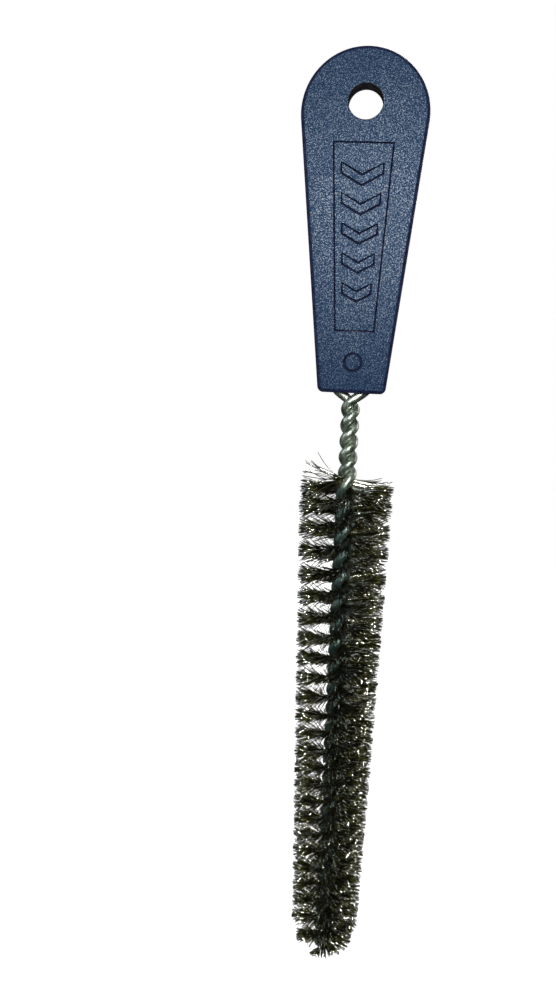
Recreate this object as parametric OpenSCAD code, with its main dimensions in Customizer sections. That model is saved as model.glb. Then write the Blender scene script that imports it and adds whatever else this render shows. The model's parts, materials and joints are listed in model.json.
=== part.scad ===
// Tapered twisted-wire brush with a flat moulded handle.
// +Z runs up the stem towards the handle. The origin is the middle of the hang hole, whose
// axis is Y, and the broad faces of the handle look along -Y and +Y.

/* [Handle] */
// Length of the handle from its round top to its foot
handle_len = 86.5; // [75:0.5:100]
// Radius of the round top
top_r = 16.3; // [14:0.1:19]
// Width of the foot, where the wire comes out
foot_w = 17.8; // [15:0.1:22]
// Thickness between the two broad faces
handle_t = 6; // [5:0.1:8]
// Radius of the two corners at the foot
foot_r = 1.6; // [1.3:0.1:3]
// Rounding along the edges of the broad faces
edge_r = 1; // [0.4:0.1:1.2]
// Diameter of the hang hole
hole_d = 8.8; // [6:0.1:11]
// Distance from the round top down to the middle of the hang hole
hole_drop = 13.6; // [11:0.1:18]

/* [Stem wire] */
// Diameter of the wire that is folded in two and twisted
wire_d = 2.5; // [2:0.1:2.8]
// Length of bare stem between the foot of the handle and the bristles
bare_len = 22.1; // [16:0.1:35]
// Height of half a turn of the bare stem
bare_half_pitch = 4.2; // [3.8:0.1:6]
// Radius of the loop that the handle is moulded around, to the middle of the wire
loop_r = 5; // [4:0.1:5.5]
// Angle between each leg and the stem where the legs spread into the loop
flare_angle = 54; // [40:1:60]

/* [Bristles] */
// Number of half turns of bristles
row_count = 25; // [12:1:30]
// Height of the first half turn, next to the bare stem
top_half_pitch = 6.55; // [5:0.05:8]
// Height of a half turn once the twist has tightened
tip_half_pitch = 4.7; // [4:0.05:6]
// Number of half turns over which the twist tightens
tightening_rows = 14; // [4:1:20]
// Reach of the bristles from the middle of the stem, next to the bare stem
top_reach = 12.6; // [9:0.1:16]
// Reach of the bristles at the tip
tip_reach = 9; // [6:0.1:12]
// Gap between the two legs of wire that holds the bristles
clamp_gap = 0.5; // [0.3:0.05:0.8]
// Half the angle that the bristles of a row spread through at their tips
spread_angle = 36; // [15:1:45]
// Distance that the last bristles splay down past the cut ends of the wire
splay_len = 2.3; // [1:0.1:4]

/* [Hidden] */
wire_r = wire_d / 2;
foot_z = hole_drop - handle_len;
brush_top_z = foot_z - bare_len;
loop_z = foot_z + loop_r * sin(flare_angle);
leg_x = loop_r * cos(flare_angle);
crossing_drop = leg_x / tan(flare_angle);
// The legs first cross in front of each other after half of a half turn
crossing = 0.5;
bare_half_turns = crossing + (bare_len - crossing_drop) / bare_half_pitch;
half_turns = bare_half_turns + row_count;
tightened_len = tightening_rows * (top_half_pitch + tip_half_pitch) / 2;
// The legs open up to the clamp gap over this share of a half turn
opening_turn = 0.5;
// Radius out to which the two legs pinch the bristles flat
pinch_r = 2.4;
// Play on each side between the pinched bristles and the wire
pinch_play = 0.05;
last_row_taper = 0.88;

wire_sides = 8;
rings_per_half_turn = 6;
loop_steps = 16;
row_slices = 9;
reach_steps = 3;
edge_steps = 3;
outline_sides = 64;

function row_name(i) = str("bristle_row_", i < 10 ? "0" : "", i);

// Height of brush taken up by n half turns, from the bare stem down
function brush_drop(n) = n < tightening_rows
    ? n * top_half_pitch - n * n * (top_half_pitch - tip_half_pitch) / (2 * tightening_rows)
    : tightened_len + (n - tightening_rows) * tip_half_pitch;

// Height at which the stem has made h half turns, counted from the foot of the handle down
function stem_z(h) = h < bare_half_turns
    ? foot_z - crossing_drop - (h - crossing) * bare_half_pitch
    : brush_top_z - brush_drop(h - bare_half_turns);

// Distance of each leg from the middle of the stem after h half turns
function leg_r(h) = wire_r + clamp_gap / 2 * min(1, max(0, (h - bare_half_turns) / opening_turn));

// Direction of the first leg after h half turns, for a right-hand twist; the other is opposite
function leg_direction(h) = [cos(-180 * h), sin(-180 * h), 0];

// Reach of the bristles after n half turns of brush
function reach(n) = top_reach + (tip_reach - top_reach) * n / row_count;

function unit(v) = v / norm(v);

// The middle line of the whole wire: up one leg, round the loop, and down the other leg.
// Each entry is a point and a direction across the wire that turns smoothly along it.
leg_rings = ceil((half_turns - crossing) * rings_per_half_turn);
function leg(side) = [
    for (i = [0:leg_rings])
    let (h = half_turns + (crossing - half_turns) * i / leg_rings, out = leg_direction(h))
    [side * leg_r(h) * out + [0, 0, stem_z(h)], out]];
function loop() = [
    for (i = [0:loop_steps])
    let (a = -flare_angle + (180 + 2 * flare_angle) * i / loop_steps)
    [[loop_r * cos(a), 0, loop_z + loop_r * sin(a)], leg_direction(crossing)]];
function reversed(list) = [for (i = [len(list) - 1:-1:0]) list[i]];
wire_line = concat(leg(1), loop(), reversed(leg(-1)));

// Round wire along wire_line, from entry first to entry last
module wire(first, last) {
    function heading(i) = unit(
        wire_line[min(i + 1, len(wire_line) - 1)][0] - wire_line[max(i - 1, 0)][0]);
    function ring(i) =
        let (along = heading(i),
             across = unit(wire_line[i][1] - (wire_line[i][1] * along) * along),
             beside = cross(along, across))
        [for (s = [0:wire_sides - 1])
            let (a = 360 * (s + 0.5) / wire_sides)
            wire_line[i][0] + wire_r * (cos(a) * across + sin(a) * beside)];
    points = [for (i = [first:last]) each ring(i)];
    rings = last - first + 1;
    skin = [
        for (i = [0:rings - 2], s = [0:wire_sides - 1])
        let (a = i * wire_sides + s, b = i * wire_sides + (s + 1) % wire_sides)
        each [[a, a + wire_sides, b + wire_sides], [a, b + wire_sides, b]]];
    near_end = [for (s = [0:wire_sides - 1]) s];
    far_end = [for (s = [wire_sides - 1:-1:0]) (rings - 1) * wire_sides + s];
    polyhedron(points, concat(skin, [near_end, far_end]));
}

// One moulded piece: a tapered plate with a round top and rounded edges, pierced by the hang
// hole and moulded around the loop of the wire
module handle() {
    corner_x = foot_w / 2 - foot_r;
    rounds = [[0, hole_drop - top_r, top_r],
              [-corner_x, foot_z + foot_r, foot_r],
              [corner_x, foot_z + foot_r, foot_r]];
    color("#3c4d6c")
    difference() {
        rotate([90, 0, 0])
        hull()
        for (round = rounds, step = [0:edge_steps])
        let (a = 90 * step / edge_steps, t = handle_t - 2 * edge_r * (1 - sin(a)))
        translate([round.x, round.y, -t / 2])
        cylinder(r = round.z - edge_r * (1 - cos(a)), h = t, $fn = outline_sides);
        rotate([90, 0, 0])
        cylinder(d = hole_d, h = 2 * handle_t, center = true, $fn = outline_sides);
        wire(leg_rings, leg_rings + loop_steps + 2);
    }
}

// One wire, folded in two: the loop sits in the handle, the legs are twisted together, and
// both cut ends are at the tip
module stem_wire() {
    color("#8d9893")
    wire(0, len(wire_line) - 1);
}

// Half a turn of bristles, which cross the stem between its legs and reach out both ways
module bristle_row(i) {
    h = bare_half_turns + i;
    outer = reach(i);
    inner = reach(i - 1);
    taper = i == row_count ? last_row_taper : 1;
    pinch = clamp_gap / 2 - pinch_play;
    arm = concat(
        [[pinch_r, -pinch]],
        [for (s = [0:reach_steps])
            let (a = spread_angle * (2 * s / reach_steps - 1))
            taper * outer * [cos(a), sin(a)]],
        [[pinch_r, pinch]]);
    color("#5c5540")
    union() {
        translate([0, 0, stem_z(h)])
        rotate(90 - 180 * h)
        linear_extrude(height = stem_z(h - 1) - stem_z(h), twist = -180, slices = row_slices,
                       scale = inner / outer / taper)
        polygon(concat(arm, -arm));
        if (i == row_count) splay();
    }
}

// The last bristles, bent down around the cut ends of the wire
module splay() {
    overlap = 0.6;
    inner_r = wire_d + clamp_gap / 2 + 0.3;
    outer_r = last_row_taper * tip_reach;
    translate([0, 0, stem_z(half_turns)])
    rotate_extrude($fn = 32)
    polygon([[inner_r, overlap], [outer_r - overlap, overlap], [outer_r - overlap, 0],
             [0.8 * outer_r, -0.7 * splay_len], [0.5 * outer_r, -splay_len],
             [inner_r, -splay_len]]);
}

handle();
stem_wire();
for (i = [1:row_count])
    bristle_row(i);
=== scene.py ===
import json
import math
import random

import bmesh
import bpy
import numpy as np
from mathutils import Matrix, Vector, noise


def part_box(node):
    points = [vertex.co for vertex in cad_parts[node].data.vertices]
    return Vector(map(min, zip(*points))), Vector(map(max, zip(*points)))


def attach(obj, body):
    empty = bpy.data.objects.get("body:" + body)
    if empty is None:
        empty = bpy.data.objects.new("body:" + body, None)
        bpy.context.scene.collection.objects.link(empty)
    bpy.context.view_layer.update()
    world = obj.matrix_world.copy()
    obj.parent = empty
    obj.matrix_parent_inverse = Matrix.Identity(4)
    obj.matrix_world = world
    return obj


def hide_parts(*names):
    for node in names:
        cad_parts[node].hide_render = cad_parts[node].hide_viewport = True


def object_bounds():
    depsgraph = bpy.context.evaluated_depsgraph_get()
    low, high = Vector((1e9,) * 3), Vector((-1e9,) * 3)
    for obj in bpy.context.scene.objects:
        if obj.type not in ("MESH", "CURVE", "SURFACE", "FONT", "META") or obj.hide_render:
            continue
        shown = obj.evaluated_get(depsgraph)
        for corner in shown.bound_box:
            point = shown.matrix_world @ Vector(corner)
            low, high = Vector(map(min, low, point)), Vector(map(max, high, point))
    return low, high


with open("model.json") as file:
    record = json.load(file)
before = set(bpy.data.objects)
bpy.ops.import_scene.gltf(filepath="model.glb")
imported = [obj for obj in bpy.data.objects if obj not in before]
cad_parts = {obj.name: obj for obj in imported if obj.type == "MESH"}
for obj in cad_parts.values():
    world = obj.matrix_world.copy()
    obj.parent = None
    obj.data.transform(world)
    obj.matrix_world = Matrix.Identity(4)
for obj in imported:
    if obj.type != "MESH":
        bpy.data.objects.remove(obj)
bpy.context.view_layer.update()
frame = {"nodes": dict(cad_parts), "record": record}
mm = 0.001


# --- Stem wire -----------------------------------------------------------------------------
# One length of zinc-coated steel wire, folded in two. The fold is a loop inside the handle,
# the two legs cross just under it and are twisted together right-handed, and both ends are
# cut off square at the tip. In the brush the legs stand apart by the bristles they pinch.

wire_r = 1.25 * mm
loop_r = 5 * mm
flare_angle = math.radians(54)
bare_half_pitch = 4.2 * mm
clamp_gap = 0.5 * mm
crossing = 0.5
opening_turn = 0.5
steps_per_half_turn = 12
loop_steps = 40
wire_sides = 20
wire_crease = math.radians(50)
weld_share = 0.0005

row_names = sorted(name for name in frame["nodes"] if name.startswith("bristle_row_"))
row_boxes = [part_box(name) for name in row_names]
row_tops = [high.z for low, high in row_boxes]
foot_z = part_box("handle")[0].z
leg_x = loop_r * math.cos(flare_angle)
crossing_z = foot_z - leg_x / math.tan(flare_angle)
loop_z = foot_z + loop_r * math.sin(flare_angle)
wire_end_z = 2 * row_tops[-1] - row_tops[-2]
brush_start = crossing + (crossing_z - row_tops[0]) / bare_half_pitch
brush_end = brush_start + len(row_names)
turn_marks = [crossing] + [brush_start + i for i in range(len(row_names) + 1)]
height_marks = [crossing_z] + row_tops + [wire_end_z]


def stem_z(half_turns):
    """Height at which the stem has made that many half turns, counted down from the handle."""
    return float(np.interp(half_turns, turn_marks, height_marks))


def leg_direction(half_turns):
    """Direction from the middle of the stem to its first leg; the second leg is opposite."""
    return Vector((math.cos(-math.pi * half_turns), math.sin(-math.pi * half_turns), 0))


def leg_line(side):
    """Points down the middle of one leg, from the crossing under the handle to its cut end."""
    count = round((brush_end - crossing) * steps_per_half_turn)
    line = []
    for half_turns in np.linspace(crossing, brush_end, count + 1).tolist():
        opened = min(1, max(0, (half_turns - brush_start) / opening_turn))
        reach = wire_r + opened * clamp_gap / 2
        line.append(side * reach * leg_direction(half_turns) + Vector((0, 0, stem_z(half_turns))))
    return line


def loop_line():
    """Points round the loop in the handle, from the first leg over to the second."""
    angles = np.linspace(-flare_angle, math.pi + flare_angle, loop_steps + 1)
    return [Vector((loop_r * math.cos(a), 0, loop_z + loop_r * math.sin(a))) for a in angles]


def link(name, data):
    """A new object at the origin that holds the mesh, curve, light or camera."""
    made = bpy.data.objects.new(name, data)
    bpy.context.scene.collection.objects.link(made)
    return made


def drawn_wire(name, lines, radius, sides, closed=False):
    """Round wire along each line of points, as one mesh. Open lines get flat ends."""
    curve = bpy.data.curves.new(name, "CURVE")
    curve.dimensions = "3D"
    curve.bevel_depth = radius
    curve.bevel_resolution = sides // 2 - 2
    curve.use_fill_caps = not closed
    for line in lines:
        spline = curve.splines.new("POLY")
        spline.points.add(len(line) - 1)
        spline.points.foreach_set("co", [c for point in line for c in (*point, 1)])
        spline.use_cyclic_u = closed
    drawing = link(name + "_line", curve)
    shown = drawing.evaluated_get(bpy.context.evaluated_depsgraph_get())
    mesh = bpy.data.meshes.new_from_object(shown)
    mesh.name = name
    bpy.data.objects.remove(drawing)
    shape = bmesh.new()
    shape.from_mesh(mesh)
    bmesh.ops.remove_doubles(shape, verts=shape.verts, dist=radius * weld_share)
    bmesh.ops.recalc_face_normals(shape, faces=shape.faces)
    shape.to_mesh(mesh)
    shape.free()
    return mesh


class Signal:
    """One output of a material's nodes. Arithmetic on it adds Math nodes."""

    def __init__(self, finish, socket):
        self.finish = finish
        self.socket = socket

    def math(self, operation, *values):
        return self.finish.node("Math", {"operation": operation}, dict(enumerate(values)))

    def __add__(self, other):
        return self.math("ADD", self, other)

    def __mul__(self, other):
        return self.math("MULTIPLY", self, other)

    def __rsub__(self, other):
        return self.math("SUBTRACT", other, self)

    __radd__ = __add__
    __rmul__ = __mul__


class Finish:
    """One material, whose surface is a Principled shader."""

    def __init__(self, name):
        self.material = bpy.data.materials.new(name)
        self.material.use_nodes = True
        self.tree = self.material.node_tree
        self.shader = self.tree.nodes["Principled BSDF"]

    def feed(self, socket, value):
        if isinstance(value, Signal):
            self.tree.links.new(value.socket, socket)
        else:
            socket.default_value = value

    def node(self, kind, settings=None, inputs=None, output=0):
        """Adds a node with its settings and inputs, and gives one of its outputs."""
        made = self.tree.nodes.new("ShaderNode" + kind)
        for name, value in (settings or {}).items():
            setattr(made, name, value)
        for name, value in (inputs or {}).items():
            self.feed(made.inputs[name], value)
        return Signal(self, made.outputs[output])

    def place(self):
        return self.node("TexCoord", output="Object")

    def speckle(self, size, place, detail=2.0, roughness=0.5):
        """Noise from 0 to 1 whose features are about that size."""
        inputs = {"Vector": place, "Scale": 1 / size, "Detail": detail, "Roughness": roughness}
        return self.node("TexNoise", None, inputs)

    def step(self, value, low, high):
        """0 where value is under low, 1 where it is over high, and smooth between."""
        inputs = {"Value": value, "From Min": low, "From Max": high}
        return self.node("MapRange", {"interpolation_type": "SMOOTHSTEP"}, inputs)

    def blend(self, share, first, second):
        """The first colour, turning to the second as share goes from 0 to 1."""
        return self.node("Mix", {"data_type": "RGBA"}, {0: share, 6: first, 7: second}, output=2)

    def bump(self, height, depth):
        return self.node("Bump", None, {"Height": height, "Distance": depth, "Strength": 1.0})

    def surface(self, **inputs):
        for name, value in inputs.items():
            self.feed(self.shader.inputs[name.replace("_", " ")], value)
        return self.material


def galvanised_finish():
    """Zinc on drawn steel: a bright and dull grey-green mottle where the stem is bare. Inside the
    brush it is an even, darker teal-grey instead, a painted shade for the bristles' shadow on it."""
    finish = Finish("galvanised_wire")
    place = finish.place()
    mottle = finish.speckle(2.2 * mm, place, detail=4.0, roughness=0.6)
    scuffs = finish.speckle(0.35 * mm, place, detail=3.0)
    height = finish.node("SeparateXYZ", None, {"Vector": place}, output="Z")
    # 1 where the stem is bare above the brush, 0 inside it, where it takes the painted shade.
    bare = finish.step(height, row_tops[1], row_tops[0])
    # Painted shade: an even teal-grey that the stem takes inside the brush, for the bristles'
    # shadow on it.
    tone_and_brush_shade = (0.2, 0.3, 0.28, 1)
    dull = (0.09, 0.14, 0.095, 1)
    bright = (0.65, 0.7, 0.61, 1)
    zinc = finish.blend(finish.step(mottle + 0.4 * scuffs, 0.5, 0.9), dull, bright)
    return finish.surface(
        Base_Color=finish.blend(bare, tone_and_brush_shade, zinc),
        Roughness=0.34 + 0.16 * finish.step(scuffs, 0.35, 0.7),
        Metallic=1.0,
        Normal=finish.bump(mottle + 0.5 * scuffs, 0.02 * mm),
    )


def finished(name, mesh, material, slot, *nodes):
    """A shown piece that rides on the root body and stands for CAD nodes."""
    mesh.materials.append(material)
    piece = link(name, mesh)
    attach(piece, "root")
    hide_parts(*nodes)


whole_wire = leg_line(1)[::-1] + loop_line() + leg_line(-1)
wire_mesh = drawn_wire("twisted_stem", [whole_wire], wire_r, wire_sides)
wire_mesh.shade_smooth()
wire_mesh.set_sharp_from_angle(angle=wire_crease)
finished("twisted_stem", wire_mesh, galvanised_finish(), "galvanised_wire", "stem_wire")


# --- Bristles ------------------------------------------------------------------------------
# Fine hard-drawn wire. Each filament lies across the stem between its legs and sticks out on
# both sides, so the twist fans them all into a double screw. Each leans a little its own
# way, some loose ones at the top stand up, and all are trimmed to a slight taper.

bristle_r = 0.1 * mm
bristles_per_row = 290
bristle_steps = 5
bristle_points = 2 * bristle_steps
bristle_sides = 4
pinch_r = 1.6 * mm
layer_play = 0.15 * mm
ragged = 1.2 * mm
lean_spread = 0.11
curl_spread = 0.14
sweep_spread = 0.06
tuft_lean = 0.1
tufts_per_half_turn = 8
tuft_lanes_apart = 10
start_half_turns = 1.0
start_lean = 0.36
end_half_turns = 1.7
end_lean = 0.3
end_trim = 0.42
stray_bristles = 18
stray_half_turns = 0.15
stray_lean = 0.8
least_lift = 0.3
stray_curl = 0.2
brush_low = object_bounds()[0].z + bristle_r
row_middles = [brush_start + 0.5 + i for i in range(len(row_names))]
row_reaches = [high.x for low, high in row_boxes]


def tip_reach(half_turns):
    """Longest bristle at that place on the stem, from the CAD rows."""
    return float(np.interp(half_turns, row_middles, row_reaches))


def bristle_line(half_turns, rng, stray=0.0):
    """Points along one filament, from one trimmed end through the stem to the other. A stray
    one has its left arm lifted."""
    beside = leg_direction(half_turns)
    out = Vector((-beside.y, beside.x, 0))
    middle = Vector((0, 0, stem_z(half_turns))) + beside * rng.uniform(-layer_play, layer_play)
    near_start = max(0, 1 - (half_turns - brush_start) / start_half_turns)
    near_end = max(0, 1 - (brush_end - half_turns) / end_half_turns)
    line = []
    for way in (-1, 1):
        length = tip_reach(half_turns) * (1 - end_trim * near_end ** 2)
        length -= pinch_r + ragged * rng.random() ** 2
        tuft = noise.noise(Vector((half_turns * tufts_per_half_turn, tuft_lanes_apart * way, 0)))
        rise = rng.uniform(-lean_spread, lean_spread) - start_lean * near_start
        rise -= end_lean * near_end
        lifted = stray * (way * out.x < 0)
        rise += lifted * rng.uniform(least_lift, 1)
        sweep = rng.gauss(0, sweep_spread)
        curl = tuft_lean * tuft + rng.gauss(0, curl_spread + stray_curl * lifted)
        lowest = (brush_low - middle.z) / length
        arm = []
        for t in np.linspace(0, 1, bristle_steps).tolist():
            up = Vector((0, 0, max(lowest, rise + curl * t)))
            along = way * out + up + sweep * t * beside
            arm.append(middle + way * pinch_r * out + length * t * along / along.length)
        line += arm[::way]
    return line


def row_lines(i, rng):
    """The lines of one half turn's filaments. The first row also has the stray ones."""
    row_start = brush_start + i
    lines = []
    for j in range(bristles_per_row):
        lines.append(bristle_line(row_start + (j + rng.random()) / bristles_per_row, rng))
    if i == 0:
        for j in range(stray_bristles):
            place = row_start + stray_half_turns * rng.random()
            lines.append(bristle_line(place, rng, stray_lean))
    return lines


def bristle_finish():
    """Oiled wire, each filament its own brown, and some near-white at their ends: partly wear at
    the ends and partly a painted glint.
    """
    finish = Finish("bristle_wire")
    tone = finish.node("Attribute", {"attribute_name": "tone"}, output="Fac")
    tip_wear_and_glint = finish.node("Attribute", {"attribute_name": "tip_wear_and_glint"}, output="Fac")
    dark = (0.022, 0.024, 0.006, 1)
    khaki = (0.09, 0.088, 0.026, 1)
    # Painted glint, partly wear: the near-white that some filaments take at their ends.
    scraped_glint = (1.0, 1.0, 0.92, 1)
    # Here each filament's own tone, from dark to khaki, differs at random; no shade is painted in
    # it.
    tone_and_brush_shade = finish.blend(finish.step(tone, 0.3, 1.0), dark, khaki)
    rubbed_glint_share = finish.step(tip_wear_and_glint + 0.7 * tone, 1.08, 1.3)
    return finish.surface(
        Base_Color=finish.blend(rubbed_glint_share, tone_and_brush_shade, scraped_glint),
        Roughness=0.4 - 0.26 * rubbed_glint_share,
        Metallic=1.0,
    )


def point_attribute(mesh, name, values):
    attribute = mesh.attributes.new(name, "FLOAT", "POINT")
    attribute.data.foreach_set("value", values.astype(np.float32))


bristle_material = bristle_finish()
from_middle = np.repeat(np.abs(np.linspace(-1, 1, bristle_points)), bristle_sides)
for i, name in enumerate(row_names):
    rng = random.Random(i)
    lines = row_lines(i, rng)
    row = drawn_wire(name + "_wires", lines, bristle_r, bristle_sides)
    tones = [rng.random() for line in lines]
    point_attribute(row, "tone", np.repeat(tones, bristle_points * bristle_sides))
    # How far out along each filament, from 0 at the stem to 1 at the ends, which sets where the
    # painted glint goes.
    point_attribute(row, "tip_wear_and_glint", np.tile(from_middle, len(lines)))
    finished(name + "_wires", row, bristle_material, "bristle_wire", name)


# --- Handle --------------------------------------------------------------------------------
# One flat paddle of navy blue plastic, moulded around the loop of the wire, with a hang hole
# and rolled edges. Its faces and sides have a spark-eroded grain, its front has engraved
# chevrons in a border over a ring, and a fine groove shows where the mould parted.

edge_r = 1 * mm
corner_r = 1.6 * mm
rim_r = 0.12 * mm
round_steps = 6
outline_sides = 128
hole_sides = 96
parting_half_w = 0.15 * mm
parting_depth = 0.12 * mm
handle_low, handle_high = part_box("handle")
handle_t = handle_high.y - handle_low.y
top_r = handle_high.x
hole_r = frame["record"]["mounts"][0]["dims"]["r_mm"] * mm
foot_half_w = 8.9 * mm
straight_line = math.radians(0.2)
weld_distance = 0.001 * mm
handle_crease = math.radians(35)

groove_r = 0.36 * mm
groove_sides = 10
border_top, border_bottom = -10 * mm, -57 * mm
border_top_half_w, border_bottom_half_w = 7.6 * mm, 5 * mm
chevrons = 5
first_chevron_z, last_chevron_z = border_top - 5 * mm, border_bottom + 12 * mm
chevron_inset = 2 * mm
chevron_slope = 0.55
chevron_band = 2.6 * mm
ring_r = 2.2 * mm
ring_z = -65 * mm
ring_steps = 48


def plate():
    """The paddle's solid shape: three rounds spanned by their hull, with rolled edges and the
    fine groove where the two halves of its mould met. Its rolled faces have finish 1."""
    shape = bmesh.new()
    rounds = [(0, handle_high.z - top_r, top_r)]
    rounds += [(side * (foot_half_w - corner_r), foot_z + corner_r, corner_r) for side in (-1, 1)]
    upright = Matrix.Rotation(math.pi / 2, 4, "X")
    for x, z, r in rounds:
        bmesh.ops.create_cone(shape, cap_ends=True, segments=outline_sides, radius1=r, radius2=r,
                              depth=handle_t, matrix=Matrix.Translation((x, 0, z)) @ upright)
    for face in list(shape.faces):
        shape.faces.remove(face)
    for edge in list(shape.edges):
        shape.edges.remove(edge)
    bmesh.ops.convex_hull(shape, input=shape.verts)
    loose = [vert for vert in shape.verts if not vert.link_faces]
    bmesh.ops.delete(shape, geom=loose, context="VERTS")
    bmesh.ops.dissolve_limit(shape, angle_limit=straight_line, verts=shape.verts,
                             edges=shape.edges)
    facing_side, facing_front = 0.05, 0.99
    broad = [face for face in shape.faces if abs(face.normal.y) > facing_front]
    rim = list({edge for face in broad for edge in face.edges})
    bmesh.ops.bevel(shape, geom=rim, offset=edge_r, segments=round_steps, profile=0.5,
                    affect="EDGES", material=-1)
    bmesh.ops.recalc_face_normals(shape, faces=shape.faces)
    for face in shape.faces:
        face.material_index = int(facing_side < abs(face.normal.y) < facing_front)
    for y in (-parting_half_w, 0, parting_half_w):
        geom = shape.verts[:] + shape.edges[:] + shape.faces[:]
        bmesh.ops.bisect_plane(shape, geom=geom, plane_co=(0, y, 0), plane_no=(0, 1, 0))
    shape.normal_update()
    for vert in shape.verts:
        if abs(vert.co.y) < parting_half_w / 2:
            vert.co -= parting_depth * vert.normal
    return shape


def hole_cutter():
    """What the hang hole takes away: a pin that flares in a quarter round at both faces."""
    shape = bmesh.new()
    half = handle_t / 2
    profile = [(0, half + rim_r), (hole_r + rim_r, half + rim_r)]
    for a in np.linspace(0, math.pi / 2, round_steps + 1):
        profile.append((hole_r + rim_r * (1 - math.sin(a)), half - rim_r * (1 - math.cos(a))))
    profile += [(x, -y) for x, y in reversed(profile)]
    verts = [shape.verts.new((x, y, 0)) for x, y in profile]
    edges = [shape.edges.new(pair) for pair in zip(verts, verts[1:])]
    bmesh.ops.spin(shape, geom=verts + edges, cent=(0, 0, 0), axis=(0, 1, 0), angle=2 * math.pi,
                   steps=hole_sides, use_merge=True)
    bmesh.ops.remove_doubles(shape, verts=shape.verts, dist=weld_distance)
    bmesh.ops.recalc_face_normals(shape, faces=shape.faces)
    return shape


def as_mesh(name, shape):
    mesh = bpy.data.meshes.new(name)
    shape.to_mesh(mesh)
    shape.free()
    return mesh


def border_half_w(z):
    """Half the width of the engraved border at that height."""
    up = (z - border_bottom) / (border_top - border_bottom)
    return border_bottom_half_w + (border_top_half_w - border_bottom_half_w) * up


def engraving_lines():
    """Closed lines, on the front face, that the engraving cutter follows."""
    top_half, bottom_half = border_top_half_w, border_bottom_half_w
    shapes = [[(-top_half, border_top), (top_half, border_top),
               (bottom_half, border_bottom), (-bottom_half, border_bottom)]]
    for z in np.linspace(first_chevron_z, last_chevron_z, chevrons):
        half = border_half_w(z) - chevron_inset
        point_z = z - chevron_slope * half
        shapes.append([(-half, z), (0, point_z), (half, z), (half, z - chevron_band),
                       (0, point_z - chevron_band), (-half, z - chevron_band)])
    angles = np.linspace(0, 2 * math.pi, ring_steps, endpoint=False)
    shapes.append([(ring_r * math.cos(a), ring_z + ring_r * math.sin(a)) for a in angles])
    return [[Vector((x, handle_low.y, z)) for x, z in shape] for shape in shapes]


def carve(piece, cutter_mesh):
    """Takes the cutter's shape away from the piece, with the cutter's finish on the cut."""
    cutter = link("cutter", cutter_mesh)
    cut = piece.modifiers.new("cut", "BOOLEAN")
    cut.object = cutter
    cut.solver = "EXACT"
    cut.material_mode = "TRANSFER"
    shown = piece.evaluated_get(bpy.context.evaluated_depsgraph_get())
    mesh = bpy.data.meshes.new_from_object(shown)
    piece.modifiers.clear()
    piece.data = mesh
    bpy.data.objects.remove(cutter)


def grained_finish():
    """Navy plastic with the grain of a spark-eroded mould, whose peaks catch the light. The paler
    navy on the peaks is a painted glint.
    """
    finish = Finish("handle_plastic")
    place = finish.place()
    grain = finish.speckle(0.34 * mm, place, detail=3.0, roughness=0.7)
    patches = finish.speckle(7 * mm, place, detail=3.0)
    peaks = finish.step(grain, 0.49, 0.65)
    deep_navy = (0.003, 0.007, 0.02, 1)
    # Painted glint: the paler navy that the grain's peaks take.
    painted_glint_navy = (0.015, 0.031, 0.062, 1)
    return finish.surface(
        Base_Color=finish.blend(peaks, deep_navy, painted_glint_navy),
        Roughness=0.32,
        Specular_IOR_Level=0.06,
        Specular_Tint=(0.28, 0.6, 1, 1),
        Coat_Weight=peaks * (0.12 + 0.5 * patches),
        Coat_Roughness=0.3,
        Normal=finish.bump(grain, 0.035 * mm),
    )


def shaded_plastic_finish(name, dark, light, gloss):
    """The same plastic where the mould has no grain: faintly cloudy, with fine rub marks. It is
    given darker colours than the grained faces, as painted shade.
    """
    finish = Finish(name)
    place = finish.place()
    clouds = finish.speckle(1.5 * mm, place, detail=3.0)
    rubs = finish.speckle(0.25 * mm, place)
    return finish.surface(
        Base_Color=finish.blend(finish.step(clouds, 0.35, 0.65), dark, light),
        Roughness=0.34 + 0.12 * finish.step(rubs, 0.4, 0.65),
        Specular_IOR_Level=gloss,
        Normal=finish.bump(rubs, 0.008 * mm),
    )


handle = link("moulded_handle", as_mesh("moulded_handle", plate()))
# Painted shade: the rolled edges and the engraved grooves take this darker navy for the shade
# they lie in.
shaded_edge_plastic = shaded_plastic_finish("shaded_edge_plastic", dark=(0.002, 0.003, 0.012, 1),
                             light=(0.006, 0.008, 0.025, 1), gloss=0.1)
# Painted shade: the wall of the hang hole takes this near-black grey for the shade inside the
# bore.
shaded_hole_plastic = shaded_plastic_finish("shaded_hole_plastic", dark=(0.007, 0.007, 0.009, 1),
                             light=(0.018, 0.016, 0.017, 1), gloss=0.0)
handle.data.materials.append(grained_finish())
handle.data.materials.append(shaded_edge_plastic)
hole = as_mesh("hole_cutter", hole_cutter())
hole.materials.append(shaded_hole_plastic)
carve(handle, hole)
grooves = drawn_wire("groove_cutter", engraving_lines(), groove_r, groove_sides, closed=True)
grooves.materials.append(shaded_edge_plastic)
carve(handle, grooves)
handle.data.shade_smooth()
handle.data.set_sharp_from_angle(angle=handle_crease)
handle.modifiers.new("even_normals", "WEIGHTED_NORMAL").keep_sharp = True
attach(handle, "root")
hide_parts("handle")


# --- Stage ---------------------------------------------------------------------------------
# A plain pale floor well below the hanging brush. A small strong light stands in front of the
# brush, weaker soft ones to its left, right and back, and a large one lights the floor from
# above. The surround looks white but lights the brush as a dim grey.

floor_drop = 450 * mm
floor_half_w = 3.5
floor_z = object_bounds()[0].z - floor_drop


def floor_mesh():
    shape = bmesh.new()
    bmesh.ops.create_grid(shape, x_segments=1, y_segments=1, size=floor_half_w)
    bmesh.ops.translate(shape, verts=shape.verts, vec=(0, 0, floor_z))
    return as_mesh("floor", shape)


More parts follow.
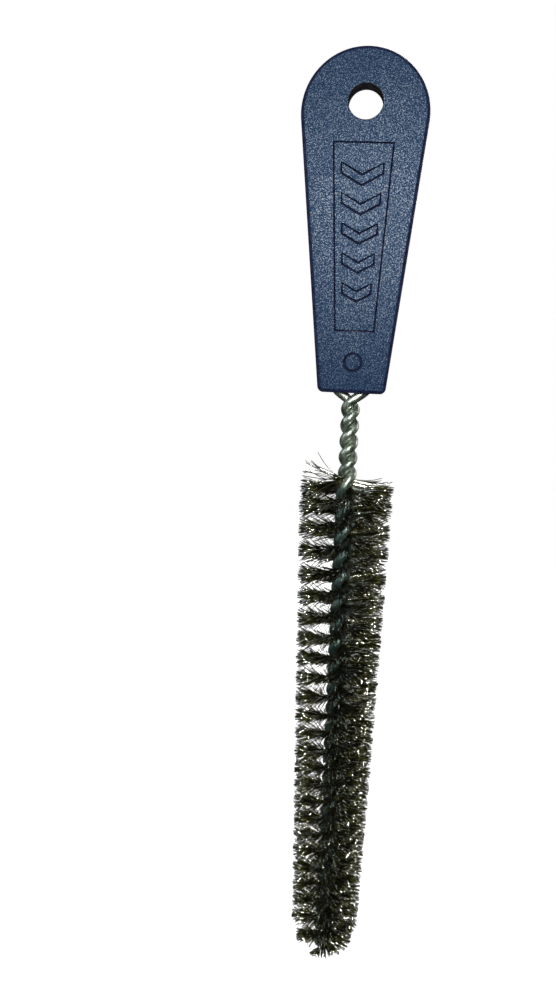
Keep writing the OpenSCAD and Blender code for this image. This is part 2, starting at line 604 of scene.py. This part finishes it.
def softbox(name, place, aim, size, power):
    light = bpy.data.lights.new(name, "AREA")
    light.shape = "DISK"
    light.size = size
    light.energy = power
    made = link(name, light)
    made.location = place
    made.rotation_euler = (Vector(aim) - Vector(place)).to_track_quat("-Z", "Y").to_euler()


pale = Finish("pale_floor")
floor = link("floor", floor_mesh())
floor.data.materials.append(pale.surface(Base_Color=(0.9, 0.9, 0.9, 1), Roughness=0.8))

softbox("key_light", place=(0.005, -0.5, 0.06), aim=(0, 0, -0.09), size=0.11, power=3.2)
softbox("left_light", place=(-0.5, -0.22, 0), aim=(0, 0, -0.15), size=0.3, power=0.5)
softbox("back_light", place=(0.15, 0.6, 0.22), aim=(0, 0, -0.1), size=0.4, power=4)
softbox("right_light", place=(0.6, 0.25, 0.1), aim=(0, 0, -0.1), size=0.4, power=1)
softbox("floor_light", place=(0, 0, 2.5), aim=(0, 0, -0.3), size=14.0, power=900)
bpy.data.lights["left_light"].color = (0.75, 0.95, 1)
bpy.data.objects["floor_light"].visible_glossy = False
floor.visible_glossy = False

world = bpy.data.worlds.new("surround")
bpy.context.scene.world = world
world.use_nodes = True
seen = world.node_tree.nodes["Background"]
dim = world.node_tree.nodes.new("ShaderNodeBackground")
rays = world.node_tree.nodes.new("ShaderNodeLightPath")
choice = world.node_tree.nodes.new("ShaderNodeMixShader")
seen.inputs["Color"].default_value = (1, 1, 1, 1)
dim.inputs["Color"].default_value = (0.08, 0.08, 0.08, 1)
join = world.node_tree.links.new
join(rays.outputs["Is Camera Ray"], choice.inputs[0])
join(dim.outputs[0], choice.inputs[1])
join(seen.outputs[0], choice.inputs[2])
join(choice.outputs[0], world.node_tree.nodes["World Output"].inputs["Surface"])

bpy.context.scene.view_settings.view_transform = "Standard"


# --- Camera --------------------------------------------------------------------------------
# Stands 264 mm in front of the brush, a little to its right and about level with the foot of
# the handle. It looks slightly down and to the left, and leans by a few degrees.

camera_eye = Vector((5, -264, -73.2)) * mm
camera_aim = Vector((-18, 0, -102)) * mm
camera_lean = math.radians(2.5)
sensor_size = 36
lens_length = 36.036
nearest_seen = 0.01

camera_data = bpy.data.cameras.new("camera")
camera_data.sensor_width = sensor_size
camera_data.lens = lens_length
camera_data.clip_start = nearest_seen
camera = link("camera", camera_data)
look = (camera_aim - camera_eye).to_track_quat("-Z", "Y").to_matrix().to_4x4()
camera.matrix_world = Matrix.Translation(camera_eye) @ look @ Matrix.Rotation(camera_lean, 4, "Z")
bpy.context.scene.camera = camera
